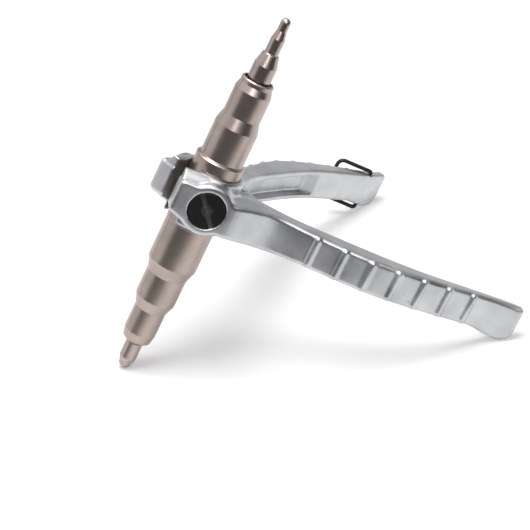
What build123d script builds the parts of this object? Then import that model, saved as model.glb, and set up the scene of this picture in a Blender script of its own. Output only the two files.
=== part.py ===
# Two-handled tube expander with a split, stepped, double-ended mandrel.
#
# The tool is drawn in its own frame first: the mandrel stands along Z, the
# split plane is XZ, X points from the mandrel towards the grips, the near side
# is -Y and the far side is +Y. A handle has a frame of its own as well: X along
# the grip, -Y outward through the hub face, Z up the mandrel. At the end every
# piece is set down in the pose in which the open tool stands on a bench, on the
# lower mandrel tip and the two handle tips. Millimetres and degrees throughout.

from build123d import *
from math import cos, hypot, radians, sin
import os

os.makedirs("parts", exist_ok=True)

# Fits and gaps
SPLIT_GAP = 0.1
SEAT_GAP = 0.03
RUNNING_GAP = 0.06
SIDE_GAP = 0.15
SWING_GAP = 0.4

# Mandrel steps: radii, and heights from the hub's middle
BODY_R = 11.0
GROUND_R = 10.85
UPPER_LARGE_R = 9.6
UPPER_SMALL_R = 8.2
UPPER_LIP_R = 7.2
LOWER_LARGE_R = 9.0
LOWER_SMALL_R = 7.1
LOWER_LIP_R = 6.3
LOWER_END_R = 4.9
LIP_EDGE = 0.4
COLLAR_TOP = 18.7
COLLAR_EDGE = 0.5
UPPER_LARGE_Z = (19.6, 34.8)
UPPER_SMALL_Z = (39.9, 51.5)
UPPER_LIP_Z = 54.4
BODY_TOP = 56.6
GROUND_Z = (-12.6, -32.2)
GROUND_EDGE_LONG = 1.0
LOWER_LARGE_Z = (-37.9, -50.3)
LOWER_SMALL_Z = (-55.6, -67.2)
LOWER_LIP_Z = -71.1
BODY_BOTTOM = -72.3

# Upper tip and lower pilot
TIP_TOP = 85.3
TIP_BASE_R = 5.1
TIP_BASE_Z = 63.7
TIP_SHOULDER_R = 3.7
TIP_SHOULDER_Z = 68.9
TIP_STEP_R = 3.0
TIP_STEP_Z = (69.3, 75.9)
TIP_END_R = 2.1
TIP_END_Z = 79.6
TIP_SHANK_R = 3.6
TIP_SHANK_LONG = 14.0
TIP_NECK_R = 4.6
PILOT_BOTTOM = -86.3
PILOT_R = 3.8
PILOT_Z = -80.8
PILOT_END_R = 2.8
PILOT_SHANK_R = 2.6
PILOT_SHANK_LONG = 12.0
PILOT_NECK_R = 3.4
NECK_ABOVE = 0.7
RECESS_DEEP = 1.6
RECESS_WIDE = 1.1
PILOT_RECESS_WIDE = 0.5

# Hub: its face carries the clamp screw and runs on into the outer face of the grip
FACE_ANGLE = 23.4
BOSS_R = 11.4
BOSS_UP = 1.1
BOSS_FACE = 17.9
HUB_END = -15.2
FACE_INNER = 9.9
FACE_FLAT_TO = 9.5
FREE_END_TO = -4.0
SLEEVE_R = 13.4
SLEEVE_LOW = -11.5
SLEEVE_HIGH = 13.9
SLEEVE_EDGE = 1.0
SADDLE_END = -14.5
SADDLE_LONG = 17.0
SADDLE_HIGH = 13.6
SADDLE_LOW = -5.0
SADDLE_OUTER = 15.6
SADDLE_CREST = 12.6
SADDLE_FOOT = 9.4
SADDLE_EDGE = 0.9

# Hub's face seen square on: along, up. Its free end, and the neck that runs on into the grip
FACE_FREE_END = [(HUB_END, -4.4), (HUB_END, 10.2), (-2.0, 10.2), (0.0, 0.0), (-3.0, -9.2)]
FACE_NECK = [
    (0.0, 7.8),
    (14.0, 7.8),
    (26.0, 8.3),
    (60.0, 7.1),
    (60.0, -7.0),
    (30.0, -8.7),
    (14.0, -8.0),
    (0.0, -8.0),
]
FACE_CORNER_R = 2.4
FACE_JOIN_R = 3.0
FACE_BEND_R = 25.0
FACE_EDGE = 1.6

# Hub's face seen from above: distance along it, distance outward, sinking into the grip at its end
FACE_DIP = [
    (FACE_FLAT_TO, BOSS_FACE),
    (17.0, 16.1),
    (24.5, 13.2),
    (31.0, 11.7),
    (38.0, 12.2),
    (46.0, 13.7),
    (54.0, 14.8),
]
FACE_BACK = [(54.0, 10.5), (29.0, 8.6), (24.0, 2.0), (6.0, 2.0), (FREE_END_TO, FACE_INNER)]

# Hinge between the handles
HINGE_X = 16.0
PIN_R = 2.5
KNUCKLE_R = 4.4
KNUCKLE_HIGH = 8.0
EYE_HALF = 2.75
PIN_EDGE = 0.35
WEB_HALF = 3.6
WEB_FOOT = 4.0
WEB_FROM = 2.4
WEB_TO = 8.0

# Grip, seen from above: distance along it, distance outward
GRIP_END = 152.0
GRIP_OUTER = [
    (10.0, 11.4),
    (28.0, 10.6),
    (49.0, 14.3),
    (74.0, BOSS_FACE),
    (GRIP_END - 53.0, 15.6),
    (GRIP_END - 28.0, 10.0),
    (GRIP_END - 13.0, 6.6),
    (GRIP_END, 6.0),
]
GRIP_INNER = [
    (17.5, -5.0),
    (26.0, -1.6),
    (38.0, 2.4),
    (58.0, 4.9),
    (80.0, 6.3),
    (GRIP_END - 48.0, 5.8),
    (GRIP_END - 28.0, 3.0),
    (GRIP_END - 13.0, 1.0),
    (GRIP_END, 0.4),
]
NECK = [(0.0, 11.4), (20.0, 11.2), (26.0, 4.0), (22.0, -3.0), (16.7, -9.6), (0.0, 0.0)]
GRIP_HALF = 7.6
GRIP_EDGE = 1.6
GRIP_EDGE_FROM = 20.0
FOOT_FROM = GRIP_END - 24.0
FOOT_FLAT_FROM = GRIP_END - 9.0
FOOT_LOW = -9.8
FOOT_R = 6.5
TOP_CORNER_R = 3.0
TALL = 30.0
PICK_ROOM = 1.0

# Finger ribs across the outer face of the grip
RIB_COUNT = 7
RIB_FIRST = 40.2
RIB_PITCH = 12.9
RIB_R = 1.9
RIB_SUNK = 0.9

# Channel in the inner face of the grip
CHANNEL_FROM = 30.0
CHANNEL_TO = 100.0
CHANNEL_DEEP = 4.6
CHANNEL_HALF = 5.1
CHANNEL_RAMP = 5.0
CHANNEL_START_RISE = 1.5
CHANNEL_END_AT = 6.0

# Clamp screws, dowels
SCREW_HEAD_R = 7.95
SCREW_HEAD_HIGH = 4.2
SCREW_SHANK_R = 4.0
SCREW_END = 4.6
SCREW_HOLE_SPARE = 0.6
SCREW_POINT_EDGE = 0.6
SCREW_RIM_EDGE = 0.4
SCREW_RECESS = 0.15
SLOT_WIDE = 2.0
SLOT_DEEP = 2.2
SLOT_TURN = 127.0
CENTRE_R = 2.8
CENTRE_DEEP = 2.6
CENTRE_TAPER = 35.0
COUNTERBORE_GAP = 0.25
DOWEL_R = 1.5
DOWEL_OUT = 8.6
DOWEL_FROM = 6.0
DOWEL_TO = 13.0
DOWEL_HOLE_SPARE = 0.3
DOWEL_EDGE = 0.3

# Locking bail
BAIL_R = 0.95
BAIL_AT = (GRIP_END - 13.5, 2.4)
BAIL_REACH = 17.0
BAIL_TURN = 130.0
BAIL_BEND = 3.0
BAIL_PIVOT_BEND = 1.2
BAIL_TOP = 8.9
BAIL_LOW = -11.1
BAIL_HOLE_DEEP = 4.0
BAIL_HOLE_SPARE = 0.3
BAIL_FOOT_DEEPER = 1.5

PLAN = Plane(origin=(0, 0, 0), x_dir=(1, 0, 0), z_dir=(0, 0, -1))
HINGE_IN_GRIP = (HINGE_X * cos(radians(FACE_ANGLE)), HINGE_X * sin(radians(FACE_ANGLE)))


def half_of(solid, side):
    """Cuts a turned piece along the split plane and keeps the near (-1) or far (+1) half."""
    plane = Plane(origin=(0, side * SPLIT_GAP, 0), x_dir=(1, 0, 0), z_dir=(0, side, 0))
    with BuildPart() as half:
        add(solid)
        split(bisect_by=plane, keep=Keep.TOP)
    return half.part


def turned(points, dome_to=None):
    """Solid of revolution about Z from (radius, height) points, closed by a round dome if asked."""
    with BuildPart() as piece:
        with BuildSketch(Plane.XZ):
            with BuildLine():
                side = Polyline(*points)
                if dome_to is not None:
                    radius, height = points[-1]
                    mid = (radius * sin(radians(45)), height + (dome_to - height) * sin(radians(45)))
                    ThreePointArc(side @ 1, mid, (0, dome_to))
                    Line((0, dome_to), side @ 0)
                else:
                    Line(side @ 1, side @ 0)
            make_face()
        revolve(axis=Axis.Z)
    return piece.part


# Stepped mandrel body, whole, before it is split
body_outline = [
    (0, BODY_BOTTOM),
    (LOWER_END_R, BODY_BOTTOM),
    (LOWER_LIP_R, LOWER_LIP_Z),
    (LOWER_SMALL_R, LOWER_SMALL_Z[1]),
    (LOWER_SMALL_R, LOWER_SMALL_Z[0]),
    (LOWER_LARGE_R, LOWER_LARGE_Z[1]),
    (LOWER_LARGE_R, LOWER_LARGE_Z[0]),
    (GROUND_R - LIP_EDGE, GROUND_Z[1] - GROUND_EDGE_LONG),
    (GROUND_R, GROUND_Z[1]),
    (GROUND_R, GROUND_Z[0]),
    (BODY_R, GROUND_Z[0]),
    (BODY_R, COLLAR_TOP),
    (BODY_R - COLLAR_EDGE, COLLAR_TOP + COLLAR_EDGE),
    (UPPER_LARGE_R, UPPER_LARGE_Z[0]),
    (UPPER_LARGE_R, UPPER_LARGE_Z[1]),
    (UPPER_SMALL_R, UPPER_SMALL_Z[0]),
    (UPPER_SMALL_R, UPPER_SMALL_Z[1]),
    (UPPER_LIP_R, UPPER_LIP_Z),
    (UPPER_LIP_R, BODY_TOP - LIP_EDGE),
    (UPPER_LIP_R - LIP_EDGE, BODY_TOP),
    (0, BODY_TOP),
]
with BuildPart() as body_blank:
    add(turned(body_outline))
    # Socket and recess for the upper tip
    with BuildSketch(Plane.XY.offset(BODY_TOP)):
        Circle(TIP_BASE_R + RECESS_WIDE)
    extrude(amount=-RECESS_DEEP, mode=Mode.SUBTRACT)
    with BuildSketch(Plane.XY.offset(BODY_TOP)):
        Circle(TIP_SHANK_R + SEAT_GAP)
    extrude(amount=-(RECESS_DEEP + TIP_SHANK_LONG + SWING_GAP), mode=Mode.SUBTRACT)
    # Socket and recess for the lower pilot
    with BuildSketch(Plane.XY.offset(BODY_BOTTOM)):
        Circle(PILOT_R + PILOT_RECESS_WIDE)
    extrude(amount=RECESS_DEEP, mode=Mode.SUBTRACT)
    with BuildSketch(Plane.XY.offset(BODY_BOTTOM)):
        Circle(PILOT_SHANK_R + SEAT_GAP)
    extrude(amount=RECESS_DEEP + PILOT_SHANK_LONG + SWING_GAP, mode=Mode.SUBTRACT)

# Upper tip with three small steps, and lower pilot
tip_seat = BODY_TOP - RECESS_DEEP
tip_blank = turned([
    (0, tip_seat - TIP_SHANK_LONG),
    (TIP_SHANK_R, tip_seat - TIP_SHANK_LONG),
    (TIP_SHANK_R, tip_seat),
    (TIP_NECK_R, tip_seat),
    (TIP_NECK_R, BODY_TOP + NECK_ABOVE),
    (TIP_BASE_R, BODY_TOP + NECK_ABOVE),
    (TIP_BASE_R, TIP_BASE_Z),
    (TIP_SHOULDER_R, TIP_SHOULDER_Z),
    (TIP_STEP_R, TIP_STEP_Z[0]),
    (TIP_STEP_R, TIP_STEP_Z[1]),
    (TIP_END_R, TIP_END_Z),
    (TIP_END_R, TIP_TOP - TIP_END_R),
], TIP_TOP)
pilot_seat = BODY_BOTTOM + RECESS_DEEP
pilot_blank = turned([
    (0, pilot_seat + PILOT_SHANK_LONG),
    (PILOT_SHANK_R, pilot_seat + PILOT_SHANK_LONG),
    (PILOT_SHANK_R, pilot_seat),
    (PILOT_NECK_R, pilot_seat),
    (PILOT_NECK_R, BODY_BOTTOM - NECK_ABOVE),
    (PILOT_R, BODY_BOTTOM - NECK_ABOVE),
    (PILOT_R, PILOT_Z),
    (PILOT_END_R, PILOT_BOTTOM + PILOT_END_R),
], PILOT_BOTTOM)


def mandrel_half(side):
    """One half of the mandrel body with its screw and dowel holes."""
    face = Plane(
        origin=(0, 0, 0),
        x_dir=(cos(radians(FACE_ANGLE)), side * sin(radians(FACE_ANGLE)), 0),
        z_dir=(-sin(radians(FACE_ANGLE)), side * cos(radians(FACE_ANGLE)), 0),
    )
    up = face.y_dir.Z
    with BuildPart() as half:
        add(half_of(body_blank.part, side))
        with BuildSketch(face.offset(SCREW_END - SCREW_HOLE_SPARE)):
            with Locations((0, up * BOSS_UP)):
                Circle(SCREW_SHANK_R + SEAT_GAP)
        extrude(amount=BODY_R, mode=Mode.SUBTRACT)
        with BuildSketch(face.offset(DOWEL_FROM - DOWEL_HOLE_SPARE)):
            with Locations((0, up * (BOSS_UP + DOWEL_OUT)), (0, up * (BOSS_UP - DOWEL_OUT))):
                Circle(DOWEL_R + SEAT_GAP)
        extrude(amount=BODY_R, mode=Mode.SUBTRACT)
    return half.part


def grip():
    """Curved grip with its finger ribs and inner channel, in the handle frame."""
    with BuildPart() as bar:
        with BuildSketch(PLAN):
            with BuildLine():
                outer = Spline(*GRIP_OUTER)
                inner = Spline(*GRIP_INNER)
                Line(outer @ 0, inner @ 0)
                Line(outer @ 1, inner @ 1)
            make_face()
        extrude(amount=TALL, both=True)
        # Side view, with the foot under the tip that the tool stands on
        with BuildSketch(Plane.XZ):
            with BuildLine():
                Spline((FOOT_FROM, -GRIP_HALF), (FOOT_FLAT_FROM, FOOT_LOW), tangents=((1, 0), (1, 0)))
                Polyline(
                    (FOOT_FLAT_FROM, FOOT_LOW),
                    (GRIP_END, FOOT_LOW),
                    (GRIP_END, GRIP_HALF),
                    (0, GRIP_HALF),
                    (0, -GRIP_HALF),
                    (FOOT_FROM, -GRIP_HALF),
                )
            make_face()
            ends = vertices().group_by(Axis.X)[-1].sort_by(Axis.Y)
            fillet(ends[0], FOOT_R)
            fillet(ends[-1], TOP_CORNER_R)
        extrude(amount=TALL, both=True, mode=Mode.INTERSECT)
        # Soften the edges of the outer and inner faces
        broad_faces = bar.faces().sort_by(SortBy.AREA)[-2:]
        rims = broad_faces.edges().filter_by(lambda edge: edge.center().X > GRIP_EDGE_FROM)
        fillet(rims, GRIP_EDGE)
        # Raised ribs across the outer face, rounded at their ends
        centres = []
        for n in range(RIB_COUNT):
            along = RIB_FIRST + n * RIB_PITCH
            spot = outer.position_at(along, position_mode=PositionMode.LENGTH)
            way = outer.tangent_at(along, position_mode=PositionMode.LENGTH)
            centres.append((spot.X + RIB_SUNK * way.Y, -(spot.Y - RIB_SUNK * way.X)))
        with Locations(*centres):
            Cylinder(RIB_R, 2 * (GRIP_HALF - RIB_R))
        with Locations(*[(x, y, s * (GRIP_HALF - RIB_R)) for x, y in centres for s in (-1, 1)]):
            Sphere(RIB_R)
        # Channel along the inner face
        with BuildSketch(PLAN):
            with BuildLine():
                under = [(a, c) for a, c in GRIP_INNER if CHANNEL_FROM < a < CHANNEL_TO - CHANNEL_RAMP]
                floor = [(a, c + CHANNEL_DEEP) for a, c in under]
                Polyline(
                    (CHANNEL_FROM, -TALL),
                    (CHANNEL_FROM, floor[0][1] - CHANNEL_START_RISE),
                    *floor,
                    (CHANNEL_TO - CHANNEL_RAMP, CHANNEL_END_AT + CHANNEL_DEEP),
                    (CHANNEL_TO, CHANNEL_END_AT),
                    (CHANNEL_TO, -TALL),
                    close=True,
                )
            make_face()
        extrude(amount=CHANNEL_HALF, both=True, mode=Mode.SUBTRACT)
    return bar.part


def split_off(gap):
    """Split plane of the tool as it lies in the handle frame, facing outward."""
    turn = radians(FACE_ANGLE)
    outward = (sin(turn), -cos(turn), 0)
    return Plane(origin=(0, 0, 0), x_dir=(0, 0, 1), z_dir=outward).offset(gap)


def hub_face():
    """Plate with the clamp screw's boss, dipping down to the grip on one side."""
    with BuildPart() as plate:
        with BuildSketch(PLAN.offset(-TALL)):
            with BuildLine():
                dip = Spline(*FACE_DIP, tangents=((1, 0), (1, 0.2)))
                Polyline(dip @ 1, *FACE_BACK, (-TALL, FACE_INNER), (-TALL, BOSS_FACE), dip @ 0)
            make_face()
        extrude(amount=2 * TALL)
        with BuildSketch(Plane.XZ.offset(-TALL)) as outline:
            with Locations((0, BOSS_UP)):
                Circle(BOSS_R)
            for points in (FACE_FREE_END, FACE_NECK):
                with BuildLine():
                    Polyline(*points, close=True)
                make_face()
            fillet(outline.vertices().group_by(Axis.X)[0], FACE_CORNER_R)
            joins = [v for v in outline.vertices() if SADDLE_END + FACE_CORNER_R < v.X < BOSS_R + PICK_ROOM]
            fillet(joins, FACE_JOIN_R)
            first_bend, last_bend = FACE_NECK[1][0] - PICK_ROOM, FACE_NECK[5][0] + PICK_ROOM
            bends = [v for v in outline.vertices() if first_bend < v.X < last_bend]
            fillet(bends, FACE_BEND_R)
        extrude(amount=2 * TALL, mode=Mode.INTERSECT)
        front = plate.faces().filter_by(Axis.Y).sort_by(Axis.Y)[0]
        fillet([edge for edge in front.edges() if edge.center().X < FACE_FLAT_TO - SEAT_GAP], FACE_EDGE)
    return plate.part


def sleeve():
    """Ring round the mandrel, behind the hub's face."""
    with BuildPart() as ring:
        with BuildSketch(Plane.XY.offset(SLEEVE_LOW)):
            Circle(SLEEVE_R)
        extrude(amount=SLEEVE_HIGH - SLEEVE_LOW)
        fillet(ring.edges().filter_by(GeomType.CIRCLE), SLEEVE_EDGE)
    return ring.part


def saddle():
    """Thicker back of the hub, whose crest stands higher than the face."""
    with BuildPart() as block:
        with BuildSketch(Plane.YZ.offset(SADDLE_END)):
            with BuildLine():
                Polyline(
                    (-SADDLE_OUTER, SADDLE_LOW),
                    (-SADDLE_OUTER, SADDLE_FOOT),
                    (-SADDLE_CREST, SADDLE_HIGH),
                    (-FACE_INNER, SADDLE_HIGH),
                    (-FACE_INNER, SADDLE_LOW),
                    close=True,
                )
            make_face()
        extrude(amount=SADDLE_LONG)
        crest = block.edges().group_by(Axis.Z)[-1].filter_by(Axis.X)
        fillet(crest, SADDLE_EDGE)
    return block.part


def rough_casting(fork):
    """Grip and hub in one, with a fork of two knuckles or one eye for the hinge."""
    hx, hy = HINGE_IN_GRIP
    with BuildPart() as block:
        add(grip())
        # Neck that carries the grip
        with BuildSketch(PLAN):
            with BuildLine():
                Polyline(*NECK, close=True)
            make_face()
        extrude(amount=GRIP_HALF, both=True)
        add(hub_face())
        add(saddle())
        add(sleeve())
        # Only this side of the split plane, and nothing behind the face's free end
        split(bisect_by=split_off(SIDE_GAP), keep=Keep.TOP)
        with BuildSketch(PLAN):
            with Locations((FREE_END_TO - TALL / 2, FACE_INNER - TALL / 2)):
                Rectangle(TALL, TALL)
        extrude(amount=TALL, both=True, mode=Mode.SUBTRACT)
        # Knuckles, with room for the other handle's
        eye_room = EYE_HALF + SIDE_GAP
        with BuildSketch(Plane.XY):
            with Locations((hx, hy)):
                Circle(KNUCKLE_R + SWING_GAP)
        if fork:
            extrude(amount=eye_room, both=True, mode=Mode.SUBTRACT)
            spans = [(eye_room, KNUCKLE_HIGH), (-KNUCKLE_HIGH, -eye_room)]
        else:
            extrude(amount=TALL, both=True, mode=Mode.SUBTRACT)
            spans = [(-EYE_HALF, EYE_HALF)]
        for low, high in spans:
            with BuildSketch(Plane.XY.offset(low)):
                with Locations((hx, hy)):
                    Circle(KNUCKLE_R)
            extrude(amount=high - low)
        if not fork:
            # Web between the eye and the neck
            with BuildSketch(Plane.XY.offset(-EYE_HALF)):
                with BuildLine():
                    Polyline(
                        (hx - WEB_HALF, hy - WEB_FROM),
                        (hx + WEB_HALF, hy - WEB_FROM),
                        (hx + WEB_FOOT, hy - WEB_TO),
                        (hx - WEB_HALF, hy - WEB_TO),
                        close=True,
                    )
                make_face()
            extrude(amount=2 * EYE_HALF)
    return block.part


def handle_casting(fork, bail_holes):
    """A whole handle, bored and drilled."""
    hx, hy = HINGE_IN_GRIP
    with BuildPart() as casting:
        add(rough_casting(fork))
        # Bore for the mandrel half
        with BuildSketch(Plane.XY):
            Circle(BODY_R + SEAT_GAP)
        extrude(amount=TALL, both=True, mode=Mode.SUBTRACT)
        # Counterbore, screw hole and dowel holes
        with BuildSketch(Plane.XZ.offset(BOSS_FACE - SCREW_HEAD_HIGH)):
            with Locations((0, BOSS_UP)):
                Circle(SCREW_HEAD_R + COUNTERBORE_GAP)
        extrude(amount=TALL, mode=Mode.SUBTRACT)
        with BuildSketch(Plane.XZ.offset(DOWEL_FROM)):
            with Locations((0, BOSS_UP)):
                Circle(SCREW_SHANK_R + RUNNING_GAP)
        extrude(amount=TALL, mode=Mode.SUBTRACT)
        with BuildSketch(Plane.XZ.offset(DOWEL_FROM)):
            with Locations((0, BOSS_UP + DOWEL_OUT), (0, BOSS_UP - DOWEL_OUT)):
                Circle(DOWEL_R + SEAT_GAP)
        extrude(amount=DOWEL_TO - DOWEL_FROM + DOWEL_HOLE_SPARE, mode=Mode.SUBTRACT)
        # Hinge pin hole
        pin_gap = SEAT_GAP if fork else RUNNING_GAP
        with BuildSketch(Plane.XY):
            with Locations((hx, hy)):
                Circle(PIN_R + pin_gap)
        extrude(amount=TALL, both=True, mode=Mode.SUBTRACT)
        if bail_holes:
            # Blind pivot holes for the bail, in the top and bottom edges
            for high, deep in ((GRIP_HALF, -BAIL_HOLE_DEEP), (FOOT_LOW, BAIL_HOLE_DEEP + BAIL_FOOT_DEEPER)):
                with BuildSketch(Plane.XY.offset(high)):
                    with Locations((BAIL_AT[0], -BAIL_AT[1])):
                        Circle(BAIL_R + RUNNING_GAP)
                extrude(amount=deep, mode=Mode.SUBTRACT)
    return casting.part


def to_tool(piece, side):
    """Turns a piece from the handle frame to its side of the tool."""
    if side > 0:
        piece = mirror(piece, about=Plane.XZ)
    with BuildPart() as placed:
        add(piece, rotation=(0, 0, side * FACE_ANGLE))
    return placed.part


def clamp_screw():
    """Slotted flush screw, in the handle frame."""
    with BuildPart() as screw:
        with BuildSketch(Plane.XZ.offset(SCREW_END)):
            with Locations((0, BOSS_UP)):
                Circle(SCREW_SHANK_R)
        extrude(amount=BOSS_FACE - SCREW_HEAD_HIGH - SCREW_END)
        chamfer(screw.edges().group_by(Axis.Y)[-1], SCREW_POINT_EDGE)
        with BuildSketch(Plane.XZ.offset(BOSS_FACE - SCREW_HEAD_HIGH)):
            with Locations((0, BOSS_UP)):
                Circle(SCREW_HEAD_R)
        extrude(amount=SCREW_HEAD_HIGH - SCREW_RECESS)
        rim = screw.edges().group_by(Axis.Y)[0]
        chamfer(rim, SCREW_RIM_EDGE)
        # Driver slot and the turned centre
        with BuildSketch(Plane.XZ.offset(BOSS_FACE - SCREW_RECESS)):
            with Locations(Location((0, BOSS_UP, 0), (0, 0, SLOT_TURN))):
                Rectangle(3 * SCREW_HEAD_R, SLOT_WIDE)
        extrude(amount=-SLOT_DEEP, mode=Mode.SUBTRACT)
        with BuildSketch(Plane.XZ.offset(BOSS_FACE - SCREW_RECESS)):
            with Locations((0, BOSS_UP)):
                Circle(CENTRE_R)
        extrude(amount=-CENTRE_DEEP, taper=CENTRE_TAPER, mode=Mode.SUBTRACT)
    return screw.part


def dowels():
    """Two dowels that stop the mandrel half turning under its screw."""
    with BuildPart() as pins:
        with BuildSketch(Plane.XZ.offset(DOWEL_FROM)):
            with Locations((0, BOSS_UP + DOWEL_OUT), (0, BOSS_UP - DOWEL_OUT)):
                Circle(DOWEL_R)
        extrude(amount=DOWEL_TO - DOWEL_FROM)
        chamfer(pins.edges().filter_by(GeomType.CIRCLE), DOWEL_EDGE)
    return pins.part


def bail():
    """U of round wire that swings round the grip tips, in the handle frame."""
    turn = radians(BAIL_TURN)
    leg = (cos(turn), -sin(turn), 0)
    wire_plane = Plane(origin=(BAIL_AT[0], -BAIL_AT[1], 0), x_dir=leg, z_dir=(leg[1], -leg[0], 0))
    top_end = GRIP_HALF - BAIL_HOLE_DEEP + BAIL_HOLE_SPARE
    low_end = FOOT_LOW + BAIL_HOLE_DEEP + BAIL_FOOT_DEEPER - BAIL_HOLE_SPARE
    with BuildPart() as wire:
        with BuildLine(wire_plane) as path:
            FilletPolyline(
                (0, top_end),
                (0, BAIL_TOP),
                (BAIL_REACH, BAIL_TOP),
                (BAIL_REACH, BAIL_LOW),
                (0, BAIL_LOW),
                (0, low_end),
                radius=(BAIL_PIVOT_BEND, BAIL_BEND, BAIL_BEND, BAIL_PIVOT_BEND),
            )
        with BuildSketch(Plane(origin=path.line @ 0, z_dir=path.line % 0)):
            Circle(BAIL_R)
        sweep()
    return wire.part


with BuildPart() as hinge_pin:
    with BuildSketch(Plane.XY.offset(-KNUCKLE_HIGH)):
        with Locations((HINGE_X, 0)):
            Circle(PIN_R)
    extrude(amount=2 * KNUCKLE_HIGH)
    chamfer(hinge_pin.edges().filter_by(GeomType.CIRCLE), PIN_EDGE)

pieces = {
    "near_handle": to_tool(handle_casting(True, False), -1),
    "far_handle": to_tool(handle_casting(False, True), 1),
    "near_mandrel_half": mandrel_half(-1),
    "far_mandrel_half": mandrel_half(1),
    "near_upper_tip": half_of(tip_blank, -1),
    "far_upper_tip": half_of(tip_blank, 1),
    "near_lower_pilot": half_of(pilot_blank, -1),
    "far_lower_pilot": half_of(pilot_blank, 1),
    "near_clamp_screw": to_tool(clamp_screw(), -1),
    "far_clamp_screw": to_tool(clamp_screw(), 1),
    "near_dowels": to_tool(dowels(), -1),
    "far_dowels": to_tool(dowels(), 1),
    "hinge_pin": hinge_pin.part,
    "locking_bail": to_tool(bail(), 1),
}


def foot_height(tilt, side_of_mandrel):
    """Height of the lowest point of the mandrel or of a grip tip, with the tool leaning by tilt."""
    lean = radians(tilt)
    if side_of_mandrel:
        return (PILOT_BOTTOM + PILOT_END_R) * cos(lean) - PILOT_END_R
    face = radians(FACE_ANGLE)
    core_r = FOOT_R - GRIP_EDGE
    along = (GRIP_END - FOOT_R) * cos(face) - (GRIP_INNER[-1][1] + GRIP_EDGE) * sin(face)
    round_off = core_r * hypot(sin(lean) * cos(face), cos(lean)) + GRIP_EDGE
    return (FOOT_LOW + FOOT_R) * cos(lean) - along * sin(lean) - round_off


# Lean at which mandrel tip and both grip tips stand on the bench together
TILT_ROUNDS = 40
low_tilt, high_tilt = 0.0, 60.0
for _ in range(TILT_ROUNDS):
    tilt = (low_tilt + high_tilt) / 2
    if foot_height(tilt, True) < foot_height(tilt, False):
        low_tilt = tilt
    else:
        high_tilt = tilt
leaning = Rotation(0, tilt, 0)
whole = Compound(children=[piece.moved(leaning) for piece in pieces.values()])
room = whole.bounding_box()
standing = Location((-room.center().X, -room.center().Y, -room.min.Z)) * leaning
print(f"lean {tilt:.2f}, floor by feet {foot_height(tilt, True):.3f}, by box {room.min.Z:.3f}")
print(f"overall {room.size.X:.1f} x {room.size.Y:.1f} x {room.size.Z:.1f}")

for name, piece in pieces.items():
    stood = piece.moved(standing)
    stood.label = name
    export_step(stood, f"parts/{name}.step")
    print(f"{name}: {len(stood.solids())} solid(s), {stood.volume:.0f} cubic mm")
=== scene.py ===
# %% [markdown]
# A tube expander: two cast aluminium handles joined by a hinge pin. Each handle holds one half
# of a stepped steel mandrel. Squeezing the handles swings the halves apart, which widens a
# copper tube pushed over one of the steps.
# The measured model is loaded first. It stays where it is, and every piece made here is built
# around it in the same frame, in metres.

# %% Load the measured model
from math import cos, degrees, radians, sin

import bpy
from mathutils import Matrix, Vector


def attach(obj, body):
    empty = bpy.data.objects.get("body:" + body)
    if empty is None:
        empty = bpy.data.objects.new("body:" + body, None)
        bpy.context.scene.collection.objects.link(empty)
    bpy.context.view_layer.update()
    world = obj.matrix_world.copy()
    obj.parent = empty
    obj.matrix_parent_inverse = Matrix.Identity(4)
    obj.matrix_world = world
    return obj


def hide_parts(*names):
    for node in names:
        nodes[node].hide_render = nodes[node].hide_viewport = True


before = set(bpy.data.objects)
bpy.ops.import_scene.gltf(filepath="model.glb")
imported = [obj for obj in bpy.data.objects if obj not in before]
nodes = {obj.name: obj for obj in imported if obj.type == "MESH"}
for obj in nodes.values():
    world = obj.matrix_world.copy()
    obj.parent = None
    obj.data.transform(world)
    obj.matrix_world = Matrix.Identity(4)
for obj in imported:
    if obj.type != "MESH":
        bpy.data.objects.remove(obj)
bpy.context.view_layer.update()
MM = 0.001
print("nodes:", ", ".join(sorted(nodes)))

# %% [markdown]
# The mandrel leans, because the tool stands on its lower pilot and on the feet of its two grips.
# Many patterns and pieces follow the mandrel's own axis, so the tool's frame is written down
# once: its Z runs up the mandrel, its X towards the grips.
# Each grip has a frame of its own as well, turned about the mandrel's axis by the same angle to
# either side. It runs along the grip, outward through its outer face, and up.

# %% The tool's own frame, and the grips'
LEAN = radians(29.8128)
AXIS_FOOT = Vector((-39.674, -0.244, 75.251)) * MM
TO_STAND = Matrix.Translation(AXIS_FOOT) @ Matrix.Rotation(LEAN, 4, "Y")
TO_TOOL = TO_STAND.inverted()
GRIP_ANGLE = radians(23.4)
SIGN = {"near": -1, "far": 1}


def on_grip(side, along_mm, outward_mm, up_mm):
    """Place on the bench of a point given in the frame of the near or the far grip."""
    turn = Matrix.Rotation(SIGN[side] * GRIP_ANGLE, 4, "Z")
    return TO_STAND @ turn @ (Vector((along_mm, SIGN[side] * outward_mm, up_mm)) * MM)


print("mandrel leans by", round(degrees(LEAN), 2), "degrees")

# %% [markdown]
# Colours are written as sRGB hex values, as a paint chart gives them. Blender's shaders work
# in linear light, so one function turns the first into the second.

# %% Colour and node helpers
def colour(hex_value):
    """Linear RGBA of an sRGB hex value such as "b8aaa4"."""
    channels = []
    for start in (0, 2, 4):
        value = int(hex_value[start:start + 2], 16) / 255
        channels.append(value / 12.92 if value <= 0.04045 else ((value + 0.055) / 1.055) ** 2.4)
    return (*channels, 1.0)


def add(tree, kind, links=(), inputs=(), **settings):
    """Adds a node. links are (input, output socket) pairs, inputs are (input, value) pairs."""
    node = tree.nodes.new(kind)
    for name, value in settings.items():
        setattr(node, name, value)
    for name, value in inputs:
        node.inputs[name].default_value = value
    for name, socket in links:
        tree.links.new(socket, node.inputs[name])
    return node


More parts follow.
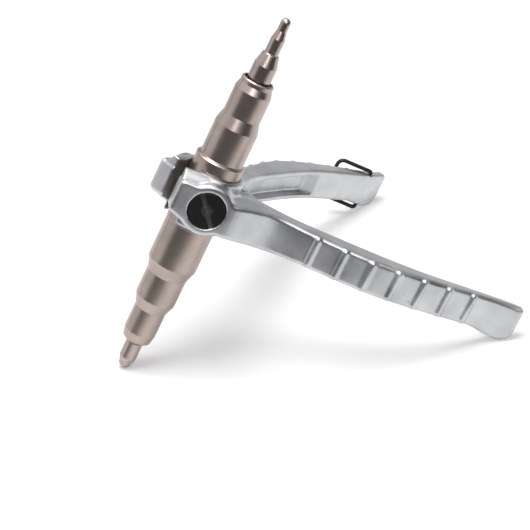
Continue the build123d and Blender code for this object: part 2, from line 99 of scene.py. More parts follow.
def new_material(name):
    """A material with only a Principled shader wired to its output."""
    material = bpy.data.materials.new(name)
    material.use_nodes = True
    tree = material.node_tree
    tree.nodes.clear()
    output = add(tree, "ShaderNodeOutputMaterial")
    shader = add(tree, "ShaderNodeBsdfPrincipled")
    tree.links.new(shader.outputs["BSDF"], output.inputs["Surface"])
    return material, tree, shader


def ramp(tree, socket, stops):
    """A colour ramp over socket, with (position, hex value) stops."""
    node = add(tree, "ShaderNodeValToRGB", links=[("Fac", socket)])
    elements = node.color_ramp.elements
    while len(elements) < len(stops):
        elements.new(0.5)
    for element, (position, hex_value) in zip(elements, stops):
        element.position = position
        element.color = colour(hex_value)
    return node.outputs["Color"]


def noise(tree, vector, size_mm, detail=3.0, roughness=0.5):
    """Noise whose lumps are about size_mm across."""
    node = add(
        tree, "ShaderNodeTexNoise", links=[("Vector", vector)],
        inputs=[("Scale", 1 / (size_mm * MM)), ("Detail", detail), ("Roughness", roughness)],
    )
    return node.outputs["Fac"]


def span(tree, socket, low, high, to_low=0.0, to_high=1.0):
    """Maps low..high of socket onto to_low..to_high, held inside those two."""
    node = add(
        tree, "ShaderNodeMapRange", links=[("Value", socket)],
        inputs=[("From Min", low), ("From Max", high), ("To Min", to_low), ("To Max", to_high)],
    )
    return node.outputs["Result"]


print("sRGB b8aaa4 is", [round(channel, 3) for channel in colour("b8aaa4")], "in linear light")

# %% [markdown]
# Sharp edges of a real part are never quite sharp. The Bevel node rounds the normal near an edge
# without a change of the mesh, so each edge catches a thin line of light.
# The same node tells where the edges are: there the rounded normal differs from the true one.
# That gives a mask for the edges, which are painted brighter: partly as rubbed metal, partly as a
# painted highlight. Away from the edges the true normal is used as it is, because the rounded one
# carries a little noise on curved faces, which would make polished metal sparkle.

# %% Rounded edges, and the mask of edges painted brighter as wear and highlight
BEVEL_SAMPLES = 6
# Cosine between the rounded and the true normal: off the edges, and well on one
OFF_EDGE = 0.995
ON_EDGE = 0.9


def soft_edges(tree, radius_mm):
    """The normal with edges rounded by radius_mm, and a mask that is 1 on the edges."""
    bevel = add(tree, "ShaderNodeBevel", inputs=[("Radius", radius_mm * MM)], samples=BEVEL_SAMPLES)
    geometry = add(tree, "ShaderNodeNewGeometry")
    alike = add(
        tree, "ShaderNodeVectorMath", operation="DOT_PRODUCT",
        links=[(0, bevel.outputs["Normal"]), (1, geometry.outputs["Normal"])],
    )
    at_edge = span(tree, alike.outputs["Value"], OFF_EDGE, ON_EDGE)
    normal = add(
        tree, "ShaderNodeMix", data_type="VECTOR",
        links=[("Factor", at_edge), (4, geometry.outputs["Normal"]), (5, bevel.outputs["Normal"])],
    )
    return normal.outputs[1], at_edge


# %% [markdown]
# Every metal here is finished in the same steps: a pattern raises or lowers the skin, the edges are
# painted a brighter metal, partly as wear and partly as a painted highlight, and the results are
# wired into the shader. Each step is one helper.
# A noise texture gives values from 0 to 1, but nearly all of them lie near the middle. So colours
# and roughness are spread over the part of that range that really occurs.

# %% Helpers for the finishes
NOISE_LOW = 0.3
NOISE_HIGH = 0.7


def bump(tree, height, normal, depth_mm):
    """The normal with height raised by depth_mm."""
    node = add(
        tree, "ShaderNodeBump",
        links=[("Height", height), ("Normal", normal)],
        inputs=[("Distance", depth_mm * MM), ("Strength", 1.0)],
    )
    return node.outputs["Normal"]


def edges_worn_and_highlit(tree, worn_highlit_edges, finish, bright_hex, share):
    """The finish, with up to share of a brighter colour on its edges, as wear and as a painted
    highlight.
    """
    # The brighter colour on the edges is partly wear and partly a painted highlight
    mixed = add(
        tree, "ShaderNodeMix", data_type="RGBA",
        links=[("Factor", span(tree, worn_highlit_edges, 0, 1, 0, share)), (6, finish)],
    )
    mixed.inputs[7].default_value = colour(bright_hex)
    return mixed.outputs[2]


def wire_up(tree, shader, links, metallic):
    """Links (input, socket) pairs to the shader, and sets how metallic it is."""
    for name, socket in links:
        tree.links.new(socket, shader.inputs[name])
    shader.inputs["Metallic"].default_value = metallic


# %% [markdown]
# The handles are die-cast aluminium, tumbled and sprayed with a thin silver lacquer.
# That gives an even, pale grey with a soft sheen, a grain of about half a millimetre that the
# lacquer has half filled, faint clouds where the metal flowed, and a few small pits.
# Along edges the colour is painted brighter: partly where the lacquer is thin, partly as a painted
# highlight on the rounded edges.

# %% Silver lacquer on die-cast aluminium
GRAIN_MM = 0.55
GRAIN_DEEP_MM = 0.012
CLOUD_MM = 12.0
FLOW_DEEP_MM = 0.12
PIT_MM = 2.6
PIT_DEEP_MM = 0.35
PIT_RIM = 0.13
PIT_FLOOR = 0.05
PATCH_MM = 9.0
PATCH_FROM = 0.58
PATCH_TO = 0.64
CAST_EDGE_MM = 0.7
CAST_EDGE_WEAR_AND_HIGHLIGHT = 0.7
CAST_SMOOTH = 0.31
CAST_DULL = 0.41


def cast_aluminium():
    """Silver lacquer on a cloudy grained casting, a few pits, and edges painted bright: wear and
    highlight.
    """
    material, tree, shader = new_material("silver_lacquer_on_cast_aluminium")
    place = add(tree, "ShaderNodeTexCoord").outputs["Object"]
    rounded, worn_highlit_edges = soft_edges(tree, CAST_EDGE_MM)
    clouds = noise(tree, place, CLOUD_MM, detail=4)
    grain = noise(tree, place, GRAIN_MM, detail=2, roughness=0.6)
    body = ramp(tree, clouds, [(NOISE_LOW, "b3b4b7"), (NOISE_HIGH, "cccdcf")])
    pits = add(
        tree, "ShaderNodeTexVoronoi", links=[("Vector", place)],
        inputs=[("Scale", 1 / (PIT_MM * MM)), ("Randomness", 1.0)],
    )
    hollow = span(tree, pits.outputs["Distance"], PIT_RIM, PIT_FLOOR)
    # Pits only come in a few patches of the skin
    patch = span(tree, noise(tree, place, PATCH_MM, detail=1), PATCH_FROM, PATCH_TO)
    deep = add(tree, "ShaderNodeMath", operation="MULTIPLY", links=[(0, hollow), (1, patch)])
    flowed = bump(tree, clouds, rounded, FLOW_DEEP_MM)
    grained = bump(tree, grain, flowed, GRAIN_DEEP_MM)
    pitted = bump(tree, span(tree, deep.outputs[0], 0, 1, 1, 0), grained, PIT_DEEP_MM)
    wire_up(tree, shader, metallic=1.0, links=(
        # Edges painted near white: partly thin lacquer, partly a painted highlight
        ("Base Color", edges_worn_and_highlit(tree, worn_highlit_edges, body, "f0f1f3", CAST_EDGE_WEAR_AND_HIGHLIGHT)),
        ("Roughness", span(tree, clouds, NOISE_LOW, NOISE_HIGH, CAST_SMOOTH, CAST_DULL)),
        ("Normal", pitted),
    ))
    print(material.name, "has", len(tree.nodes), "nodes")
    return material


# %% [markdown]
# The mandrel is turned from steel, ground and nickel plated. Plating over a turned surface keeps
# the lathe's lines: fine rings round the axis, about a tenth of a millimetre apart on the real
# one. They would be too fine to show, so they are drawn a little over a millimetre apart, and so
# shallow that they only break up the edge of a reflection.
# The rings need the distance up the mandrel, so a Mapping node brings the place on the object
# back into the tool's own frame.

# %% Turned and nickel-plated steel
RING_MM = 1.3
RING_DEEP_MM = 0.0012
RING_ROUGHER = 0.01
STAIN_MM = 9.0
STEEL_EDGE_WEAR_AND_HIGHLIGHT = 0.6


def tool_place(tree):
    """Coordinates in the tool's own frame, with Z up the mandrel."""
    place = add(tree, "ShaderNodeTexCoord").outputs["Object"]
    mapping = add(tree, "ShaderNodeMapping", links=[("Vector", place)])
    mapping.inputs["Location"].default_value = TO_TOOL.translation
    mapping.inputs["Rotation"].default_value = TO_TOOL.to_euler()
    return mapping.outputs["Vector"]


def turned_steel(name, darker, paler, roughness, edge_mm):
    """Plated steel between two tones, with shallow rings round the mandrel's axis."""
    material, tree, shader = new_material(name)
    place = tool_place(tree)
    rounded, worn_highlit_edges = soft_edges(tree, edge_mm)
    height = add(tree, "ShaderNodeSeparateXYZ", links=[("Vector", place)]).outputs["Z"]
    up_only = add(tree, "ShaderNodeCombineXYZ", links=[("Z", height)]).outputs["Vector"]
    rings = noise(tree, up_only, RING_MM, detail=0)
    stains = noise(tree, place, STAIN_MM, detail=5)
    metal = ramp(tree, stains, [(NOISE_LOW, darker), (NOISE_HIGH, paler)])
    dull = span(tree, rings, NOISE_LOW, NOISE_HIGH, roughness - RING_ROUGHER, roughness + RING_ROUGHER)
    wire_up(tree, shader, metallic=1.0, links=(
        # Edges painted a pale bright steel: partly worn plating, partly a painted highlight
        ("Base Color", edges_worn_and_highlit(tree, worn_highlit_edges, metal, "f2ece8", STEEL_EDGE_WEAR_AND_HIGHLIGHT)),
        ("Roughness", dull),
        ("Normal", bump(tree, rings, rounded, RING_DEEP_MM)),
    ))
    print(name, "has", len(tree.nodes), "nodes")
    return material


# %% [markdown]
# The clamp screws have a driver slot, and inside it a lighter grey is painted on the black, as a
# highlight where the slot's floor catches the light. A mask could be painted, but it can also be
# worked out: how deep a point lies below the screw's face is a distance along the hub's own
# direction, which leans away from the split plane by the same angle on both sides of the tool.

# %% Mask of the driver slot
SCREW_FACE_MM = 17.6
SLOT_HIGHLIGHT_RAMP_MM = 1.2


def inside_slot(tree):
    """Mask that rises from 0 at the face of a clamp screw to 1 in its slot."""
    parts = add(tree, "ShaderNodeSeparateXYZ", links=[("Vector", tool_place(tree))])
    aside = add(tree, "ShaderNodeMath", operation="ABSOLUTE", links=[(0, parts.outputs["Y"])])
    outward = add(
        tree, "ShaderNodeMath", operation="MULTIPLY",
        links=[(0, aside.outputs[0])], inputs=[(1, cos(GRIP_ANGLE))],
    )
    along = add(
        tree, "ShaderNodeMath", operation="MULTIPLY",
        links=[(0, parts.outputs["X"])], inputs=[(1, sin(GRIP_ANGLE))],
    )
    depth = add(
        tree, "ShaderNodeMath", operation="SUBTRACT",
        links=[(0, outward.outputs[0]), (1, along.outputs[0])],
    )
    return span(tree, depth.outputs[0], SCREW_FACE_MM * MM, (SCREW_FACE_MM - SLOT_HIGHLIGHT_RAMP_MM) * MM)


# %% [markdown]
# Black oxide is a thin layer grown on the steel itself: nearly black and a little oily. Its edges
# are painted grey, partly as wear and partly as a painted highlight. The clamp screws have it over
# a fine turned face.
# The bail is spring wire with the same finish, smoother from drawing. It has no slot, so its
# colour and roughness are given twice and the mask changes nothing on it.

# %% Black oxide on steel
OXIDE_EDGE_MM = 0.25
OXIDE_EDGE_WEAR_AND_HIGHLIGHT = 0.35
OXIDE_METALLIC = 0.6
SMUDGE_MM = 3.0
SMUDGE_SMOOTHER = 0.06
SMUDGE_DULLER = 0.08
TOOTH_MM = 0.3
TOOTH_DEEP_MM = 0.006


def black_oxide(name, black_hex, roughness, slot_highlight_hex, slot_roughness):
    """Smudged black steel; edges painted grey as wear and highlight; a slot with painted highlight and
    own roughness.
    """
    material, tree, shader = new_material(name)
    place = add(tree, "ShaderNodeTexCoord").outputs["Object"]
    rounded, worn_highlit_edges = soft_edges(tree, OXIDE_EDGE_MM)
    smudges = noise(tree, place, SMUDGE_MM, detail=4)
    deep = inside_slot(tree)
    # The slot is painted a lighter grey, as a highlight on its floor
    black = ramp(tree, deep, [(0.0, black_hex), (1.0, slot_highlight_hex)])
    smooth, dull = roughness - SMUDGE_SMOOTHER, roughness + SMUDGE_DULLER
    smudged = span(tree, smudges, NOISE_LOW, NOISE_HIGH, smooth, dull)
    rough = add(
        tree, "ShaderNodeMix", data_type="FLOAT",
        links=[("Factor", deep), (2, smudged)], inputs=[(3, slot_roughness)],
    )
    wire_up(tree, shader, metallic=OXIDE_METALLIC, links=(
        # Edges painted grey: partly worn oxide, partly a painted highlight
        ("Base Color", edges_worn_and_highlit(tree, worn_highlit_edges, black, "5a5a5c", OXIDE_EDGE_WEAR_AND_HIGHLIGHT)),
        ("Roughness", rough.outputs[0]),
        ("Normal", bump(tree, noise(tree, place, TOOTH_MM), rounded, TOOTH_DEEP_MM)),
    ))
    print(name, "has", len(tree.nodes), "nodes")
    return material


# %% [markdown]
# Each measured piece gets its finish by a word in its name. The castings and the bail are dressed
# too, although finer pieces stand in for them further down.

# %% Dress the measured pieces
finishes = {
    "cast_handle": cast_aluminium(),
    "mandrel_steel": turned_steel(
        "nickel_plated_turned_steel", darker="a79992", paler="b5a7a0", roughness=0.33, edge_mm=0.25,
    ),
    "tip_steel": turned_steel(
        "nickel_plated_tip_steel", darker="a99b94", paler="b7a9a2", roughness=0.30, edge_mm=0.2,
    ),
    "black_screw": black_oxide(
        "black_oxide_screw_steel", black_hex="1c1c1d", roughness=0.42,
        # A painted highlight in the driver slot
        slot_highlight_hex="6e6e70", slot_roughness=0.24,
    ),
    "bail_wire": black_oxide(
        "black_spring_wire", black_hex="242425", roughness=0.36,
        slot_highlight_hex="242425", slot_roughness=0.36,
    ),
    "pin_steel": turned_steel(
        "ground_pin_steel", darker="8f8f92", paler="9d9da0", roughness=0.3, edge_mm=0.2,
    ),
}
FINISH_OF = (
    ("handle", "cast_handle"),
    ("mandrel_half", "mandrel_steel"),
    ("tip", "tip_steel"),
    ("pilot", "tip_steel"),
    ("clamp_screw", "black_screw"),
    ("bail", "bail_wire"),
    ("dowels", "pin_steel"),
    ("hinge_pin", "pin_steel"),
)
for name, node in nodes.items():
    finish = next(slot for word, slot in FINISH_OF if word in name)
    for slot in node.material_slots:
        slot.material = finishes[finish]
    print(name, "is finished in", finishes[finish].name)

# %% [markdown]
# A die casting has no sharp edge anywhere: the tool it is cast in is rounded, and the tumbling
# that follows rounds it again. Rounding every edge of the measured handle one by one would be
# long work. Blender's voxel remesh does it in one go: it rebuilds the skin from small even
# quads, and a few rounds of smoothing then melt the edges by less than a millimetre.
# Where the sleeve round the mandrel runs into the neck, the real casting has a wide fillet. More
# rounds of smoothing, held to that place by a vertex group, melt the shoulder there.
# The result stands for the measured handle, and rides on the same body.

# %% Soft-edged castings
VOXEL_MM = 0.45
SMOOTHING_ROUNDS = 3
# Middle of the shoulder, in a grip's frame: along, outward, up
SHOULDER_MM = (10.5, 8.0, 10.5)
SHOULDER_REACH_MM = 9.0
SHOULDER_ROUNDS = 60
# Share of the reach, from its rim inwards, after which the melting is full
MELT_FULL_AT = 0.5
CLEAR_OF_BORE_MM = 12.0
SMOOTHING_SHARE = 0.5


def baked(holder, name):
    """The evaluated object as a new plain mesh object, without modifiers."""
    graph = bpy.context.evaluated_depsgraph_get()
    mesh = bpy.data.meshes.new_from_object(holder.evaluated_get(graph))
    piece = bpy.data.objects.new(name, mesh)
    bpy.context.scene.collection.objects.link(piece)
    bpy.data.objects.remove(holder)
    return piece


def melt_shoulder(holder, side):
    """Smooths the holder where its hub's sleeve meets the neck, except in the mandrel's bore."""
    shoulder = on_grip(side, *SHOULDER_MM)
    group = holder.vertex_groups.new(name="shoulder")
    for vertex in holder.data.vertices:
        from_axis = (TO_TOOL @ vertex.co).to_2d().length
        near = 1 - (vertex.co - shoulder).length / (SHOULDER_REACH_MM * MM)
        if near > 0 and from_axis > CLEAR_OF_BORE_MM * MM:
            group.add([vertex.index], min(1, near / MELT_FULL_AT), "REPLACE")
    smooth = holder.modifiers.new("shoulder", "SMOOTH")
    smooth.factor = SMOOTHING_SHARE
    smooth.iterations = SHOULDER_ROUNDS
    smooth.vertex_group = group.name


def soft_casting(side, name):
    """A soft-edged copy of one measured handle."""
    holder = bpy.data.objects.new(name + "_raw", nodes[side + "_handle"].data.copy())
    bpy.context.scene.collection.objects.link(holder)
    remesh = holder.modifiers.new("skin", "REMESH")
    remesh.mode = "VOXEL"
    remesh.voxel_size = VOXEL_MM * MM
    smooth = holder.modifiers.new("tumbling", "SMOOTH")
    smooth.factor = SMOOTHING_SHARE
    smooth.iterations = SMOOTHING_ROUNDS
    skinned = baked(holder, name + "_skin")
    melt_shoulder(skinned, side)
    piece = baked(skinned, name)
    piece.data.materials.clear()
    piece.data.materials.append(finishes["cast_handle"])
    piece.data.polygons.foreach_set("use_smooth", [True] * len(piece.data.polygons))
    print(name, "has", len(piece.data.polygons), "faces")
    return piece


# %% Both castings
for side in ("near", "far"):
    casting = soft_casting(side, side + "_handle_casting")
    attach(casting, side + "_side")
    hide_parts(side + "_handle")

# %% [markdown]
# Two things on this tool follow a rule. Seven finger ribs, all alike, cross the outer face of each
# grip at even steps along its curve. The bail is one length of round wire that follows a bent
# path. Geometry Nodes suit both: a tree holds the rule, its named inputs hold the sizes, and one
# tree serves every copy.
# The path is drawn as a curve object through places given in a grip's frame.

# %% Paths
def path_object(name, places, bends_mm):
    """An open curve through places. A point's radius holds how widely the path bends there."""
    curve = bpy.data.curves.new(name, "CURVE")
    curve.dimensions = "3D"
    spline = curve.splines.new("POLY")
    spline.points.add(len(places) - 1)
    for point, place, bend in zip(spline.points, places, bends_mm):
        point.co = (*place, 1.0)
        point.radius = bend * MM
    path = bpy.data.objects.new(name, curve)
    bpy.context.scene.collection.objects.link(path)
    return path


# %% [markdown]
# A tree's inputs are known to a modifier by an identifier that Blender gives them, not by their
# names. So the function that makes a tree also hands back which name has which identifier.
# Every tree ends the same way: its instances are made real, and it sets the material.

# %% Helpers for the node trees
def new_tree(name, sockets):
    """An empty geometry node tree, its named inputs, and their identifiers."""
    tree = bpy.data.node_groups.new(name, "GeometryNodeTree")
    identifiers = {}
    for socket_name, socket_type in sockets:
        socket = tree.interface.new_socket(socket_name, in_out="INPUT", socket_type=socket_type)
        identifiers[socket_name] = socket.identifier
    tree.interface.new_socket("Geometry", in_out="OUTPUT", socket_type="NodeSocketGeometry")
    return tree, add(tree, "NodeGroupInput").outputs, identifiers


def finish_tree(tree, shape, material):
    """Ends a tree: shape is shaded smooth, made real and given its material."""
    smooth = add(tree, "GeometryNodeSetShadeSmooth", links=[("Geometry", shape)])
    real = add(tree, "GeometryNodeRealizeInstances", links=[("Geometry", smooth.outputs[0])])
    painted = add(
        tree, "GeometryNodeSetMaterial",
        links=[("Geometry", real.outputs[0])], inputs=[("Material", material)],
    )
    add(tree, "NodeGroupOutput", links=[("Geometry", painted.outputs[0])])


def built(name, tree, identifiers, values):
    """What the tree makes of these input values, as a plain mesh object."""
    holder = bpy.data.objects.new(name + "_raw", bpy.data.meshes.new(name + "_raw"))
    bpy.context.scene.collection.objects.link(holder)
    modifier = holder.modifiers.new("rule", "NODES")
    modifier.node_group = tree
    for socket_name, value in values.items():
        modifier[identifiers[socket_name]] = value
    piece = baked(holder, name)
    bpy.data.objects.remove(values["Path"])
    print(name, "has", len(piece.data.polygons), "faces")
    return piece


# %% [markdown]
# A rib is a round bar with round ends, sunk into the face by about half its radius. It starts as
# a sphere whose halves are pushed apart. The sphere has an odd number of rings, so no ring of
# points lies on its equator, and the long side between the halves stays straight.
# Each rib's place is found by walking along the curve: the first length, plus its number times
# the pitch. From there it is sunk along the direction that is square to both the curve and the
# mandrel's axis.

# %% The tree of the finger ribs
RIB_SEGMENTS = 24
RIB_RINGS = 13
CURVE_STEPS = 24


def rib_tree():
    """The tree that sets round-ended bars across a curve at even steps."""
    tree, given, identifiers = new_tree("ribs_along_a_curve", (
        ("Path", "NodeSocketObject"),
        ("Count", "NodeSocketInt"),
        ("First", "NodeSocketFloat"),
        ("Pitch", "NodeSocketFloat"),
        ("Radius", "NodeSocketFloat"),
        ("Half length", "NodeSocketFloat"),
        ("Sunk", "NodeSocketFloat"),
        ("Axis", "NodeSocketVector"),
    ))
    # The smooth curve, and a point on it for each rib
    path = add(tree, "GeometryNodeObjectInfo", links=[("Object", given["Path"])])
    curve = add(
        tree, "GeometryNodeCurveSplineType", spline_type="CATMULL_ROM",
        links=[("Curve", path.outputs["Geometry"])],
    )
    fine = add(
        tree, "GeometryNodeSetSplineResolution",
        links=[("Geometry", curve.outputs[0])], inputs=[("Resolution", CURVE_STEPS)],
    )
    number = add(tree, "GeometryNodeInputIndex").outputs[0]
    along = add(
        tree, "ShaderNodeMath", operation="MULTIPLY_ADD",
        links=[(0, number), (1, given["Pitch"]), (2, given["First"])],
    )
    spot = add(
        tree, "GeometryNodeSampleCurve", mode="LENGTH",
        links=[("Curves", fine.outputs[0]), ("Length", along.outputs[0])],
    )
    inward = add(
        tree, "ShaderNodeVectorMath", operation="CROSS_PRODUCT",
        links=[(0, given["Axis"]), (1, spot.outputs["Tangent"])],
    )
    sunk = add(
        tree, "ShaderNodeVectorMath", operation="SCALE",
        links=[(0, inward.outputs[0]), ("Scale", given["Sunk"])],
    )
    place = add(
        tree, "ShaderNodeVectorMath", operation="ADD",
        links=[(0, spot.outputs["Position"]), (1, sunk.outputs[0])],
    )
    row = add(tree, "GeometryNodeMeshLine", links=[("Count", given["Count"])])
    spots = add(
        tree, "GeometryNodeSetPosition",
        links=[("Geometry", row.outputs[0]), ("Position", place.outputs[0])],
    )
    # One rib, from a sphere pulled in two
    ball = add(
        tree, "GeometryNodeMeshUVSphere",
        links=[("Radius", given["Radius"])],
        inputs=[("Segments", RIB_SEGMENTS), ("Rings", RIB_RINGS)],
    )
    here = add(tree, "GeometryNodeInputPosition").outputs[0]
    height = add(tree, "ShaderNodeSeparateXYZ", links=[("Vector", here)]).outputs["Z"]
    half = add(tree, "ShaderNodeMath", operation="SIGN", links=[(0, height)])
    lift = add(
        tree, "ShaderNodeMath", operation="MULTIPLY",
        links=[(0, half.outputs[0]), (1, given["Half length"])],
    )
    offset = add(tree, "ShaderNodeCombineXYZ", links=[("Z", lift.outputs[0])])
    rib = add(
        tree, "GeometryNodeSetPosition",
        links=[("Geometry", ball.outputs["Mesh"]), ("Offset", offset.outputs[0])],
    )
    upright = add(
        tree, "FunctionNodeAlignRotationToVector", axis="Z",
        links=[("Vector", given["Axis"])],
    )
    ribs = add(
        tree, "GeometryNodeInstanceOnPoints",
        links=[
            ("Points", spots.outputs[0]),
            ("Instance", rib.outputs[0]),
            ("Rotation", upright.outputs[0]),
        ],
    )
    finish_tree(tree, ribs.outputs[0], finishes["cast_handle"])
    return tree, identifiers


ribs_tree, rib_inputs = rib_tree()
print(ribs_tree.name, "has", len(ribs_tree.nodes), "nodes")

# %% [markdown]
# One tree makes the ribs of both grips. Only the path and the axis differ: on the far grip the
# axis points the other way, so that "sunk" is into the grip there too.

# %% Finger ribs
RIB_COUNT = 7
RIB_FIRST_MM = 40.2
RIB_PITCH_MM = 12.9
RIB_RADIUS_MM = 1.9
RIB_SUNK_MM = 0.9
GRIP_HALF_MM = 7.6
# Outer face of a grip: along, outward
GRIP_OUTER_MM = [
    (10, 11.4), (28, 10.6), (49, 14.3), (74, 17.9),
    (99, 15.6), (124, 10), (139, 6.6), (152, 6),
]
MANDREL_AXIS = TO_STAND.to_3x3() @ Vector((0, 0, 1))
for side, axis in (("near", MANDREL_AXIS), ("far", -MANDREL_AXIS)):
    places = [on_grip(side, along, outward, 0) for along, outward in GRIP_OUTER_MM]
    ribs = built(side + "_finger_ribs", ribs_tree, rib_inputs, {
        "Path": path_object(side + "_grip_curve", places, [0] * len(places)),
        "Count": RIB_COUNT,
        "First": RIB_FIRST_MM * MM,
        "Pitch": RIB_PITCH_MM * MM,
        "Radius": RIB_RADIUS_MM * MM,
        "Half length": (GRIP_HALF_MM - RIB_RADIUS_MM) * MM,
        "Sunk": RIB_SUNK_MM * MM,
        "Axis": axis,
    })
    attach(ribs, side + "_side")

# %% [markdown]
# The bail is bent from a straight length of spring wire: in at the upper pivot hole, over the
# edge of the grip, along, down, back, and in at the lower hole. The bender's two pins leave
# a tight bend at each pivot and a wider one at each far corner. Fillet Curve rounds the corners
# of the straight path by the radius kept on each point, and a circle swept along it is the wire.

# %% The tree of a bent wire
BEND_STEPS = 10
WIRE_SIDES = 20


def wire_tree():
    """The tree that bends a path at its corners and sweeps a round wire along it."""
    tree, given, identifiers = new_tree("round_wire_along_a_path", (
        ("Path", "NodeSocketObject"),
        ("Radius", "NodeSocketFloat"),
    ))
    path = add(tree, "GeometryNodeObjectInfo", links=[("Object", given["Path"])])
    bend = add(tree, "GeometryNodeInputRadius")
    bent = add(
        tree, "GeometryNodeFilletCurve", mode="POLY",
        links=[("Curve", path.outputs["Geometry"]), ("Radius", bend.outputs[0])],
        inputs=[("Count", BEND_STEPS)],
    )
    even = add(
        tree, "GeometryNodeSetCurveRadius",
        links=[("Curve", bent.outputs[0])], inputs=[("Radius", 1.0)],
    )
    section = add(
        tree, "GeometryNodeCurvePrimitiveCircle",
        links=[("Radius", given["Radius"])], inputs=[("Resolution", WIRE_SIDES)],
    )
    wire = add(
        tree, "GeometryNodeCurveToMesh",
        links=[("Curve", even.outputs[0]), ("Profile Curve", section.outputs["Curve"])],
        inputs=[("Fill Caps", True)],
    )
    finish_tree(tree, wire.outputs[0], finishes["bail_wire"])
    return tree, identifiers


bail_tree, bail_inputs = wire_tree()
print(bail_tree.name, "has", len(bail_tree.nodes), "nodes")

# %% [markdown]
# The bail's path lies in one plane through its two pivots. It is written down as if the wire were
# bent square: how far each corner reaches from the pivots, and how high it is on the grip.

# %% Bail wire
WIRE_RADIUS_MM = 0.95
# Pivots, in the far grip's frame: along, outward
PIVOT_MM = (138.5, 2.4)
LEG_ANGLE = radians(130)
LEG_PATH_MM = [(0, 3.9), (0, 8.9), (17, 8.9), (17, -11.1), (0, -11.1), (0, -4.6)]
LEG_BENDS_MM = [0, 1.2, 3, 3, 1.2, 0]
leg_places = [
    on_grip("far", PIVOT_MM[0] + reach * cos(LEG_ANGLE), PIVOT_MM[1] + reach * sin(LEG_ANGLE), up)
    for reach, up in LEG_PATH_MM
]
bail = built("locking_bail_wire", bail_tree, bail_inputs, {
    "Path": path_object("bail_path", leg_places, LEG_BENDS_MM),
    "Radius": WIRE_RADIUS_MM * MM,
})
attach(bail, "bail")
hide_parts("locking_bail")

# %% [markdown]
# The tool stands on a white sheet, which a wide plane stands for. Where the camera or a polished
# face looks at it, a little light of its own is added, so that the lit sheet comes out white, and
# the shadows on it stay.

# %% Floor
FLOOR_SIDE = 4.0
FLOOR_FRONT = -0.25
SHEET_ROUGHNESS = 0.9
SHEET_SHEEN = 0.1
SHEET_GLOW = 0.24
WHITE = (1, 1, 1, 1)


def white_sheet():
    """Matt white paper that glows a little where the camera or a polished face sees it."""
    material, tree, shader = new_material("white_paper_sheet")
    path = add(tree, "ShaderNodeLightPath")
    seen = add(
        tree, "ShaderNodeMath", operation="MAXIMUM",
        links=[(0, path.outputs["Is Camera Ray"]), (1, path.outputs["Is Glossy Ray"])],
    )
    shader.inputs["Base Color"].default_value = colour("e6e6e6")
    shader.inputs["Roughness"].default_value = SHEET_ROUGHNESS
    shader.inputs["Specular IOR Level"].default_value = SHEET_SHEEN
    shader.inputs["Emission Color"].default_value = WHITE
    glow = span(tree, seen.outputs[0], 0, 1, 0, SHEET_GLOW)
    tree.links.new(glow, shader.inputs["Emission Strength"])
    return material


bpy.ops.mesh.primitive_plane_add(size=FLOOR_SIDE, location=(0, FLOOR_FRONT + FLOOR_SIDE / 2, 0))
floor = bpy.context.object
floor.name = "floor"
floor.data.materials.append(white_sheet())
print("floor is", FLOOR_SIDE, "m wide")

# %% [markdown]
# Polished steel looks like whatever stands round it. In the photograph the mandrel's left flank
# mirrors the bright sheet behind it, its middle mirrors the dark side of the room where the
# camera stands, and the two meet in a sharp line. So the room here has the same parts: bright
# behind and overhead, darker behind on the right, dark in front and low down.
# A Light Path node tells who is looking. The camera, past the floor, sees plain white. Rays that
# only light matt surfaces find the room weaker, or it would wash out the shadows on the sheet.

# %% The room
ROOM_BRIGHT = "f2f2f2"
ROOM_DARK = "484848"
FILL = 0.35
BACK_RIGHT = 0.4
# Where a direction turns from dark to bright, as a share of its length: left, behind, up
TURNS_LEFT = (0.35, -0.15)
TURNS_BEHIND = (-0.08, 0.12)
TURNS_OVERHEAD = (0.45, 0.75)


def make_room():
    """The world's colour and strength, by direction and by kind of ray."""
    world = bpy.data.worlds.new("studio")
    bpy.context.scene.world = world
    world.use_nodes = True
    tree = world.node_tree
    tree.nodes.clear()
    direction = add(tree, "ShaderNodeTexCoord").outputs["Generated"]
    parts = add(tree, "ShaderNodeSeparateXYZ", links=[("Vector", direction)])
    left = span(tree, parts.outputs["X"], *TURNS_LEFT, BACK_RIGHT, 1.0)
    back = span(tree, parts.outputs["Y"], *TURNS_BEHIND)
    behind = add(tree, "ShaderNodeMath", operation="MULTIPLY", links=[(0, back), (1, left)])
    overhead = span(tree, parts.outputs["Z"], *TURNS_OVERHEAD)
    bright = add(
        tree, "ShaderNodeMath", operation="MAXIMUM",
        links=[(0, behind.outputs[0]), (1, overhead)],
    )
    room = ramp(tree, bright.outputs[0], [(0.0, ROOM_DARK), (1.0, ROOM_BRIGHT)])
    path = add(tree, "ShaderNodeLightPath")
    seen = add(
        tree, "ShaderNodeMix", data_type="RGBA",
        links=[("Factor", path.outputs["Is Camera Ray"]), (6, room)],
    )
    seen.inputs[7].default_value = WHITE
    strength = span(tree, path.outputs["Is Diffuse Ray"], 0, 1, 1, FILL)
    background = add(
        tree, "ShaderNodeBackground",
        links=[("Color", seen.outputs[2]), ("Strength", strength)],
    )
    add(tree, "ShaderNodeOutputWorld", links=[("Surface", background.outputs[0])])


make_room()
print("room runs from", ROOM_DARK, "to", ROOM_BRIGHT)

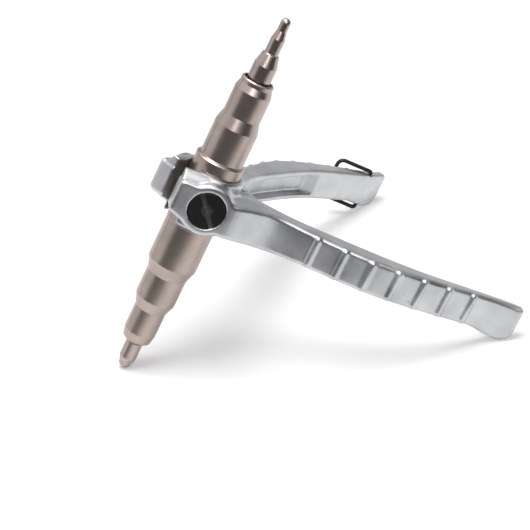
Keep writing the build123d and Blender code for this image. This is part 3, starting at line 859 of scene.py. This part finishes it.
# %% [markdown]
# Two soft lamps do the rest. A wide, low one hangs in front, above the camera: the upper cones of
# the mandrel and the rounded edges of the handles mirror it as bright bands and white lines. A
# square one hangs overhead and makes the soft shadows where the tool touches the sheet.

# %% Lamps
def softbox(name, centre, target, wide, high, power):
    """A rectangular soft lamp at centre, turned towards target. Places in metres, power in watts."""
    lamp = bpy.data.lights.new(name, "AREA")
    lamp.shape = "RECTANGLE"
    lamp.size = wide
    lamp.size_y = high
    lamp.energy = power
    holder = bpy.data.objects.new(name, lamp)
    bpy.context.scene.collection.objects.link(holder)
    holder.location = centre
    holder.rotation_euler = (Vector(target) - Vector(centre)).to_track_quat("-Z", "Y").to_euler()
    print(name, "gives", power, "W")


MIDDLE = (0, 0, 0.07)
FRONT_AT = (-0.12, -0.83, 0.84)
OVERHEAD_AT = (0.0, 0.1, 1.0)
softbox("front_softbox", FRONT_AT, MIDDLE, wide=1.0, high=0.24, power=4.2)
softbox("overhead_softbox", OVERHEAD_AT, MIDDLE, wide=0.6, high=0.6, power=9.0)

# %% [markdown]
# The camera stands where the photograph was taken from: its place was found by fitting the
# tool's shape to the photograph. A long lens keeps the perspective mild.

# %% Camera
FRAME_PIXELS = 530
FOCAL_PIXELS = 1841.4
SENSOR_MM = 36.0
CAMERA_AT = Vector((-294.61, -600.04, 505.52)) * MM
CAMERA_RIGHT = Vector((0.89449, -0.44604, -0.03061))
CAMERA_UP = Vector((0.28226, 0.51028, 0.81237))
camera_data = bpy.data.cameras.new("camera")
camera_data.sensor_width = SENSOR_MM
camera_data.lens = FOCAL_PIXELS / FRAME_PIXELS * SENSOR_MM
camera = bpy.data.objects.new("camera", camera_data)
bpy.context.scene.collection.objects.link(camera)
turn = Matrix((CAMERA_RIGHT, CAMERA_UP, CAMERA_RIGHT.cross(CAMERA_UP))).transposed()
camera.matrix_world = Matrix.Translation(CAMERA_AT) @ turn.to_4x4()
bpy.context.scene.camera = camera
print("lens", round(camera_data.lens, 1), "mm")

# %% Finish
bpy.context.scene.view_settings.view_transform = "Standard"
